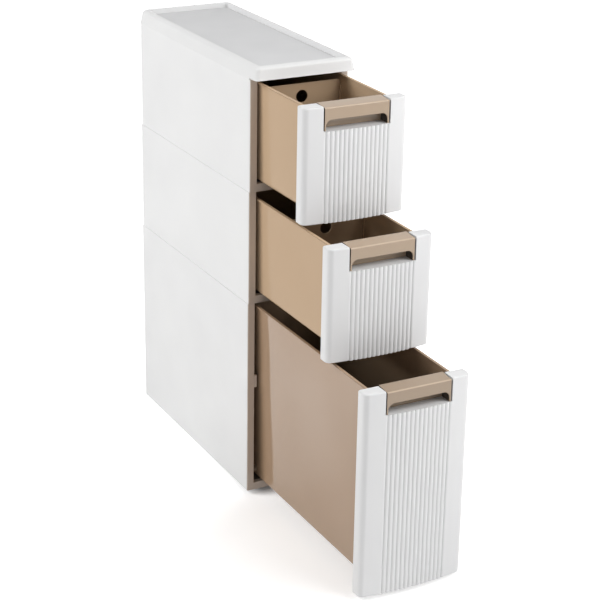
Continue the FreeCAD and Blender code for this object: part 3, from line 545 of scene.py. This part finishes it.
def front_reeds(tier):
    """The reeds of one front, as a bmesh in the frame."""
    low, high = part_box(f"{tier}_drawer_front")
    _, _, bow_radius = front_outline((high.x - low.x) / 2 / MM)
    sizes = {
        "Reeds": REEDS,
        "Pitch": PITCH * MM,
        "Depth": GROOVE * MM,
        "Sink": SINK * MM,
        "Field Radius": (bow_radius - GROOVE) * MM,
        "Axis Y": high.y + (bow_radius - BOW_DEPTH) * MM,
        "Bottom": low.z,
        "Top": high.z - NOTCH_DEPTH * MM,
        "Finish": white_front,
    }
    holder = bpy.data.objects.new(f"{tier}_reeds_draft", bpy.data.meshes.new(f"{tier}_reeds_draft"))
    bpy.context.scene.collection.objects.link(holder)
    modifier = holder.modifiers.new("reeds", "NODES")
    modifier.node_group = reeds_on_a_bow
    for name, size in sizes.items():
        modifier[reed_sockets[name]] = size
    evaluated = holder.evaluated_get(bpy.context.evaluated_depsgraph_get())
    mesh = bpy.data.meshes.new_from_object(evaluated)
    bpy.data.objects.remove(holder)
    shape = bmesh.new()
    shape.from_mesh(mesh)
    bmesh.ops.recalc_face_normals(shape, faces=shape.faces)
    return shape


for tier in TIERS:
    piece = finished(
        f"{tier}_front_reeds", front_reeds(tier), white_front, f"{tier}_drawer",
        edge=0, sharp=60,
    )
    print(piece.name, len(piece.data.polygons), "faces")

# %% [markdown]
# ## The top cover
# The lid is one white moulding with a fat, soft rim, and the eye follows the light over that rim. A fillet
# on a block leaves a flat band and two lines, so the rim is swept instead: rounded rectangles are stacked
# along its profile, up the leaning wall, over the shoulder, down the inner wall to the tray. In front the
# lid hangs over the drawers, and its underside steps up there to let the top front pass.

# %% Sweep the rim of the cover
COVER_LEAN, COVER_SHOULDER, COVER_LIP_ROUND, TRAY_LEVEL = 5.0, 8.2, 1.55, 13.5
CASING_FRONT, OVERHANG_LIFT, STEP_WIDE = -238.0, 3.0, 0.01
DOORWAY_HALF, DOORWAY_DEPTH = 80.5, 8
SEAT_WALL, SEAT_HOLLOW = 6, 9
TURN_POINTS = 9
BREAK = 2 * TURN_POINTS


def cover_ring(low, high, inset, corner):
    """Points (x, y) in mm of a rounded rectangle inside the cover's outline.

    Two close points on each side mark the casing's front, where the underside steps up.
    """
    right, front, back = high.x / MM - inset, low.y / MM + inset, high.y / MM - inset
    ring = []
    for x, y, start in (
        (-right + corner, front + corner, 180),
        (right - corner, front + corner, 270),
        (right - corner, back - corner, 0),
        (-right + corner, back - corner, 90),
    ):
        if start == 0:
            ring += [(right, CASING_FRONT - STEP_WIDE), (right, CASING_FRONT + STEP_WIDE)]
        for step in range(TURN_POINTS):
            angle = math.radians(start + 90 * step / (TURN_POINTS - 1))
            ring.append((x + corner * math.cos(angle), y + corner * math.sin(angle)))
    return ring + [(-right, CASING_FRONT + STEP_WIDE), (-right, CASING_FRONT - STEP_WIDE)]


def cover_profile(tall):
    """Triples (inset, height, corner radius) in mm from the foot of the rim to the floor of the tray."""
    lean = math.atan(COVER_LEAN / tall)
    centre_z = tall - COVER_SHOULDER
    touch_z = centre_z + COVER_SHOULDER * math.sin(lean)
    centre_in = COVER_LEAN * touch_z / tall + COVER_SHOULDER * math.cos(lean)
    profile = [(0.9, 0.0, 7.0), (0.3, 0.25, 7.4), (0.1, 0.9, 7.6)]
    profile += [(COVER_LEAN * z / tall, z, 7.6) for z in (5.0, 12.0)]
    for step in range(11):
        angle = lean + (math.pi / 2 - lean) * step / 10
        draw_in, rise = COVER_SHOULDER * math.cos(angle), COVER_SHOULDER * math.sin(angle)
        profile.append((centre_in - draw_in, centre_z + rise, 7.0))
    for step in range(1, 6):
        angle = math.pi / 2 * step / 5
        draw_in, fall = COVER_LIP_ROUND * math.sin(angle), COVER_LIP_ROUND * (1 - math.cos(angle))
        profile.append((centre_in + draw_in, tall - fall, 6.0))
    return profile + [(centre_in + COVER_LIP_ROUND, TRAY_LEVEL, 6.0)]


def cover_shell():
    """The lid: rim, tray, and an underside that steps up over the drawers."""
    low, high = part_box("top_cover")
    shape = bmesh.new()

    def vertex(x, y, z):
        return shape.verts.new((x * MM, y * MM, low.z + z * MM))

    rows = []
    for inset, z, corner in cover_profile((high.z - low.z) / MM):
        row = []
        for x, y in cover_ring(low, high, inset, corner):
            lift = OVERHANG_LIFT if y < CASING_FRONT and z < 2 else 0.0
            row.append(vertex(x, y, z + lift))
        rows.append(row)
    count = len(rows[0])
    for lower, upper in zip(rows, rows[1:]):
        for k in range(count):
            after = (k + 1) % count
            shape.faces.new((lower[k], lower[after], upper[after], upper[k]))
    shape.faces.new(rows[-1])
    foot = rows[0]
    doorway = CASING_FRONT + DOORWAY_DEPTH
    bend = [(DOORWAY_HALF, CASING_FRONT), (DOORWAY_HALF, doorway),
            (-DOORWAY_HALF, doorway), (-DOORWAY_HALF, CASING_FRONT)]
    raised = [foot[BREAK]] + [vertex(x, y, OVERHANG_LIFT) for x, y in bend] + [foot[count - 1]]
    seated = [foot[BREAK + 1]] + [vertex(x, y, 0.0) for x, y in bend] + [foot[count - 2]]
    for k in range(len(raised) - 1):
        shape.faces.new((raised[k], raised[k + 1], seated[k + 1], seated[k]))
    shape.faces.new(foot[:BREAK] + raised)
    under = shape.faces.new(foot[BREAK + 2:count - 2] + list(reversed(seated)))
    bmesh.ops.recalc_face_normals(shape, faces=shape.faces)
    bmesh.ops.inset_individual(shape, faces=[under], thickness=SEAT_WALL * MM, depth=0.0)
    ceiling = bmesh.ops.extrude_discrete_faces(shape, faces=[under])["faces"][0]
    bmesh.ops.translate(shape, verts=ceiling.verts, vec=(0, 0, SEAT_HOLLOW * MM))
    return shape


cover = finished(
    "top_cover_piece", cover_shell(), white_shell, "casing", "top_cover", edge=0, sharp=55,
)
print("cover:", len(cover.data.polygons), "faces")

# %% [markdown]
# ## The other mouldings
# The mat, the shelves, the frames, the dividers and the running gear already have their true shapes in the
# frame. What they lack is the softness of a moulding. They could be modelled once more, but a copy that is
# cleaned and given rounded edges keeps the true sizes: a small radius on thin walls and a larger one where
# a hand goes. The brackets stay crisp, because they fit closely round the axles.

# %% Dress the mouldings
MOULDINGS = [
    ("top_mat", "casing", grey_mat, "grey_mat", 0.6),
    # The shelves and the base tray take the dark brown of painted shade.
    ("middle_shelf", "casing", interior_painted_shade, "taupe_frame", 0.4),
    ("top_shelf", "casing", interior_painted_shade, "taupe_frame", 0.4),
    ("base_tray", "casing", interior_painted_shade, "taupe_frame", 0.4),
    ("guide_clips", "casing", taupe_frame, "taupe_frame", 0.5),
    ("wheel_axles", "casing", axle_steel, "axle_steel", 0.3),
]
for tier in TIERS:
    MOULDINGS.append((f"{tier}_front_frame", "casing", taupe_frame, "taupe_frame", 0.6))
    if tier != "bottom":
        MOULDINGS.append((f"{tier}_drawer_divider", f"{tier}_drawer", taupe_plate, "taupe_drawer", 0.5))
for end in ("front", "rear"):
    for side in ("left", "right"):
        corner = f"{end}_{side}"
        MOULDINGS.append((f"{corner}_bracket", "casing", taupe_frame, "taupe_frame", 0))
        MOULDINGS.append((f"{corner}_wheel", f"{corner}_wheel_body", wheel_nylon, "wheel_plastic", 0.4))

for node, body, material, slot, edge in MOULDINGS:
    finished(f"{node}_piece", copied(node), material, body, node, edge=edge)
print("dressed", len(MOULDINGS), "mouldings")

# %% [markdown]
# ## The grips
# The grip is a glossy taupe. The brow of its hood has the roundest edge of the cart, and a paler coat along
# it, which is a painted highlight, while the walls round the finger hole are too thin for more than a small
# radius. The weight of each edge sets its share of the full rounding. Light hardly gets into the hollow
# behind the hood and into the slits beside the grip, so the ceiling, the cheeks and the flanks get a dull
# dark coat of painted shade. The deep drawer's grip is a shade darker, painted shade like its box.

# %% Dress the grips
GRIP_ROUND, FLANK_BAND = 2.4, 0.3
BROW_DEEP, BROW_TALL, BROW_HIGHLIGHT_TALL = 1, 4, 6
HOOD_WALL, HOOD_DEEP = 2.4, 23
# Painted shade for the hollow behind the hood and the slits beside the grip.
painted_hollow_shade = moulded(
    "painted_hollow_shade", (0.055, 0.042, 0.032), (0.045, 0.035, 0.027), (0.5, 0.6), 0.008, 0.4, specular=0.15
)


def grip_taupe(name, shade):
    """The taupe of the grips, lighter or darker by a factor: lighter for the painted highlight along the
    brow, darker for the painted shade of the deep drawer's grip.
    """
    light, dark = (0.445, 0.335, 0.235), (0.425, 0.315, 0.22)
    tints = [tuple(shade * part for part in tint) for tint in (light, dark)]
    return moulded(name, *tints, (0.10, 0.14), 0.001, 0.15)


# A paler taupe along the brow of the hood: a painted highlight.
painted_brow_highlight = grip_taupe("painted_brow_highlight", 1.2)
for tier in TIERS:
    node = f"{tier}_drawer_grip"
    low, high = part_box(node)

    def rounded_share(middle):
        """All of the rounding along the brow of the hood, half of it elsewhere, and less along the flanks."""
        if abs(middle.x) > high.x - FLANK_BAND * MM:
            return 0.2
        on_brow = middle.z > high.z - BROW_TALL * MM and middle.y < low.y + BROW_DEEP * MM
        return 1.0 if on_brow else 0.5

    def coat_of(centre, normal):
        """Coat 1, painted shade, in the hollow and on the flanks, coat 2, a painted highlight, along the
        brow, coat 0 elsewhere.
        """
        outwards = normal.x * math.copysign(1, centre.x)
        behind = low.y + HOOD_WALL * MM < centre.y < low.y + HOOD_DEEP * MM
        inside = behind and abs(centre.x) < high.x - HOOD_WALL * MM
        if outwards > 0.9 or inside and (normal.z < -0.9 or outwards < -0.9 or normal.y > 0.9):
            return 1
        on_brow = centre.z > high.z - BROW_HIGHLIGHT_TALL * MM and 0.25 < normal.z < 0.97 and normal.y < -0.25
        return 2 if on_brow else 0

    # The deep drawer's grip is darker: painted shade.
    taupe = grip_taupe(f"{tier}_taupe_grip", 0.86 if tier == "bottom" else 1.0)
    piece = finished(
        f"{node}_piece", copied(node), taupe, f"{tier}_drawer", node,
        edge=GRIP_ROUND, segments=4, share=rounded_share, linings=(painted_hollow_shade, painted_brow_highlight), lined=coat_of,
    )
    coats = [polygon.material_index for polygon in piece.data.polygons]
    print(piece.name, "faces of each coat:", [coats.count(coat) for coat in range(3)])

# %% [markdown]
# ## Insides
# The panels of the casing are white outside, and inside they get the dark brown of the shelves: painted shade
# for the gaps beside the drawers, where hardly any light gets in. A bevel all round would open the joints
# between the tiers, so each panel is stacked from rings with a soft upper edge and a crisp foot, and the
# joints stay fine lines. The boxes are polished outside and dull inside, where the mould was left rough.
# Their inside is painted a little darker, and the dull walls grow darker still towards the floor: painted
# shade of the deep box. A box could be split into two pieces for that, but one mesh with
# two materials keeps the wall whole: a face gets the lining if it looks towards the middle.

# %% Dress the panels of the casing
INWARDS = {"left": (1, 0, 0), "right": (-1, 0, 0), "back": (0, -1, 0)}
PANEL_ROUND = {"left": 1.0, "right": 1.0, "back": 0.3}
WELD_GAP = 0.001 * MM


def panel(node, inwards, soft):
    """A plate with soft upright corners, a soft upper edge, and a crisp foot that closes the joint below."""
    low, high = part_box(node)
    across, along = (0, 1) if inwards[0] else (1, 0)
    outer, inner = (low, high) if inwards[across] > 0 else (high, low)
    thick = abs(inner[across] - outer[across])
    corner = rounding(soft, 4)
    outline = [(thick, low[along])] + [(depth, low[along] + run) for run, depth in reversed(corner)]
    outline += [(depth, high[along] - run) for run, depth in corner] + [(thick, high[along])]
    shape = bmesh.new()

    def ring(draw_in, z):
        row = []
        for depth, run in outline:
            spot = [0.0, 0.0, z]
            spot[across] = outer[across] + math.copysign(max(depth, draw_in), inwards[across])
            spot[along] = run
            row.append(shape.verts.new(spot))
        return row

    rows = [ring(0.0, low.z)] + [ring(draw_in, high.z - rise) for draw_in, rise in reversed(corner)]
    for lower, upper in zip(rows, rows[1:]):
        for k in range(len(outline)):
            after = (k + 1) % len(outline)
            shape.faces.new((lower[k], lower[after], upper[after], upper[k]))
    shape.faces.new(rows[0])
    shape.faces.new(rows[-1])
    bmesh.ops.remove_doubles(shape, verts=shape.verts, dist=WELD_GAP)
    bmesh.ops.dissolve_degenerate(shape, edges=shape.edges, dist=WELD_GAP)
    bmesh.ops.recalc_face_normals(shape, faces=shape.faces)
    return shape


for tier in TIERS:
    for side, inwards in INWARDS.items():
        node = f"{tier}_{side}_panel"

        def faces_in(_, normal):
            """Whether a face of the panel looks into the casing."""
            return normal.dot(Vector(inwards)) > 0.9

        # Faces that look into the casing take the dark brown of painted shade.
        finished(
            f"{node}_piece", panel(node, inwards, PANEL_ROUND[side] * MM), white_shell,
            "casing", node, edge=0, linings=(interior_painted_shade,), lined=faces_in,
        )
print("lined", len(TIERS) * len(INWARDS), "panels")

# %% Dress the drawer boxes
# The inside of each box darkens below its rim into a deep taupe: painted shade.
FADE_START, FADE_DEPTH, FLOOR_BAND = 12 * MM, 75 * MM, 20 * MM
PAINTED_SHADE_TAUPE = (0.22, 0.155, 0.10)
for tier in TIERS:
    node = f"{tier}_drawer_box"
    low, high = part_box(node)
    middle = (low + high) / 2
    # The deep drawer gets darker tints outside and in: painted shade.
    if tier == "bottom":
        outside, light, dark = taupe_bin_painted_shade, (0.37, 0.25, 0.16), (0.35, 0.235, 0.15)
    else:
        outside, light, dark = taupe_tray, (0.54, 0.39, 0.255), (0.52, 0.375, 0.24)
    inside = moulded(
        f"{tier}_inside", light, dark, (0.42, 0.52), 0.01, 0.5, specular=0.3,
        painted_shade=(high.z - FADE_START, FADE_DEPTH, PAINTED_SHADE_TAUPE),
    )

    def looks_in(centre, normal):
        """Whether a face of the box looks towards the middle of the box."""
        inwards = Vector((middle.x - centre.x, middle.y - centre.y, 0.0))
        on_wall = abs(normal.z) < 0.5 and normal.dot(inwards) > 0
        return on_wall or (normal.z > 0.5 and centre.z < low.z + FLOOR_BAND)

    piece = finished(
        f"{node}_piece", copied(node), outside, f"{tier}_drawer", node, edge=0.5,
        linings=(inside,), lined=looks_in,
    )
    faces = piece.data.polygons
    print(piece.name, sum(face.material_index for face in faces), "inside faces of", len(faces))

# %% [markdown]
# ## The studio
# The picture was taken in a bright studio: a white sweep, broad soft light from the left and above, and
# only a pale shadow where the cart stands. A large floor and a world of even white light give that. For the
# camera, and for mirrors and glass, both show plain white, and the floor keeps the shadow because its own
# light is added to what the lamps give it. That light fades beside the deep drawer and under the foot of
# the casing, where shadows are deepest.

# %% Floor, world and lamps
FLOOR_HALF, WORLD_LEVEL, LAMP_AIM = 20, 0.20, (0, -0.35, 0.4)
# Each shade: its middle, where it is darkest, where it ends, and what is left of the floor's own light.
FLOOR_SHADES = [((-0.1, -0.45, 0), 0.15, 0.6, 0.4), ((-0.052, -0.222, 0), 0.012, 0.04, 0.1)]


def direct_view(tree):
    """One for the camera and for what mirrors and glass show, zero for the light that falls on things."""
    path = add_node(tree, "ShaderNodeLightPath").outputs
    seen = path["Is Camera Ray"]
    for ray in ("Is Glossy Ray", "Is Transmission Ray"):
        seen = add_node(tree, "ShaderNodeMath", {0: seen, 1: path[ray]}, operation="MAXIMUM").outputs[0]
    return seen


def studio_floor():
    """A wide pale floor that looks white to the camera outside the shadows."""
    material = bpy.data.materials.new("studio_floor")
    material.use_nodes = True
    tree = material.node_tree
    shader = tree.nodes["Principled BSDF"]
    shader.inputs["Base Color"].default_value = (0.86, 0.86, 0.86, 1)
    shader.inputs["Roughness"].default_value = 0.7
    shader.inputs["Specular IOR Level"].default_value = 0.2
    shader.inputs["Emission Color"].default_value = (1, 1, 1, 1)
    place = add_node(tree, "ShaderNodeTexCoord").outputs["Object"]
    lift = direct_view(tree)
    for spot, near, far, least in FLOOR_SHADES:
        away = add_node(tree, "ShaderNodeVectorMath", {0: place, 1: spot}, operation="DISTANCE")
        inputs = {"From Min": near, "From Max": far, "To Min": least, "To Max": 1.0}
        inputs["Value"] = away.outputs["Value"]
        glow = add_node(tree, "ShaderNodeMapRange", inputs).outputs["Result"]
        lift = add_node(tree, "ShaderNodeMath", {0: lift, 1: glow}, operation="MULTIPLY").outputs[0]
    tree.links.new(lift, shader.inputs["Emission Strength"])
    mesh = bpy.data.meshes.new("studio_floor")
    corners = [(x * FLOOR_HALF, y * FLOOR_HALF, 0) for x, y in ((-1, -1), (1, -1), (1, 1), (-1, 1))]
    mesh.from_pydata(corners, [], [(0, 1, 2, 3)])
    mesh.materials.append(material)
    floor = bpy.data.objects.new("studio_floor", mesh)
    bpy.context.scene.collection.objects.link(floor)


def studio_world(level):
    """Even white light all round, and plain white for the camera."""
    world = bpy.data.worlds.new("studio_world")
    bpy.context.scene.world = world
    world.use_nodes = True
    tree = world.node_tree
    inputs = {"Value": direct_view(tree), "To Min": level, "To Max": 1.0}
    strength = add_node(tree, "ShaderNodeMapRange", inputs)
    backdrop = tree.nodes["Background"].inputs
    tree.links.new(strength.outputs["Result"], backdrop["Strength"])
    backdrop["Color"].default_value = (1, 1, 1, 1)


def softbox(name, place, aim, size, power):
    """A square area lamp that looks at a point."""
    lamp = bpy.data.lights.new(name, "AREA")
    lamp.size = size
    lamp.energy = power
    holder = bpy.data.objects.new(name, lamp)
    bpy.context.scene.collection.objects.link(holder)
    look = Vector(aim) - Vector(place)
    holder.matrix_world = Matrix.Translation(place) @ look.to_track_quat("-Z", "Y").to_matrix().to_4x4()


LAMPS = [
    ("high_right", (0.7, -1.6, 2.1), 1.2, 25),
    ("right_front", (2.6, -2.6, 1.6), 1.8, 36),
    ("left_front", (-1.8, -3.4, 1.6), 1.8, 9),
    ("left_side", (-3.0, 1.0, 2.6), 1.6, 80),
    ("left_fill", (-3.2, -0.6, 1.0), 1.6, 4),
]
studio_floor()
studio_world(WORLD_LEVEL)
for name, place, size, power in LAMPS:
    softbox(name, place, LAMP_AIM, size, power)
print("lamps:", [name for name, *_ in LAMPS])
bpy.context.scene.view_settings.view_transform = "Standard"
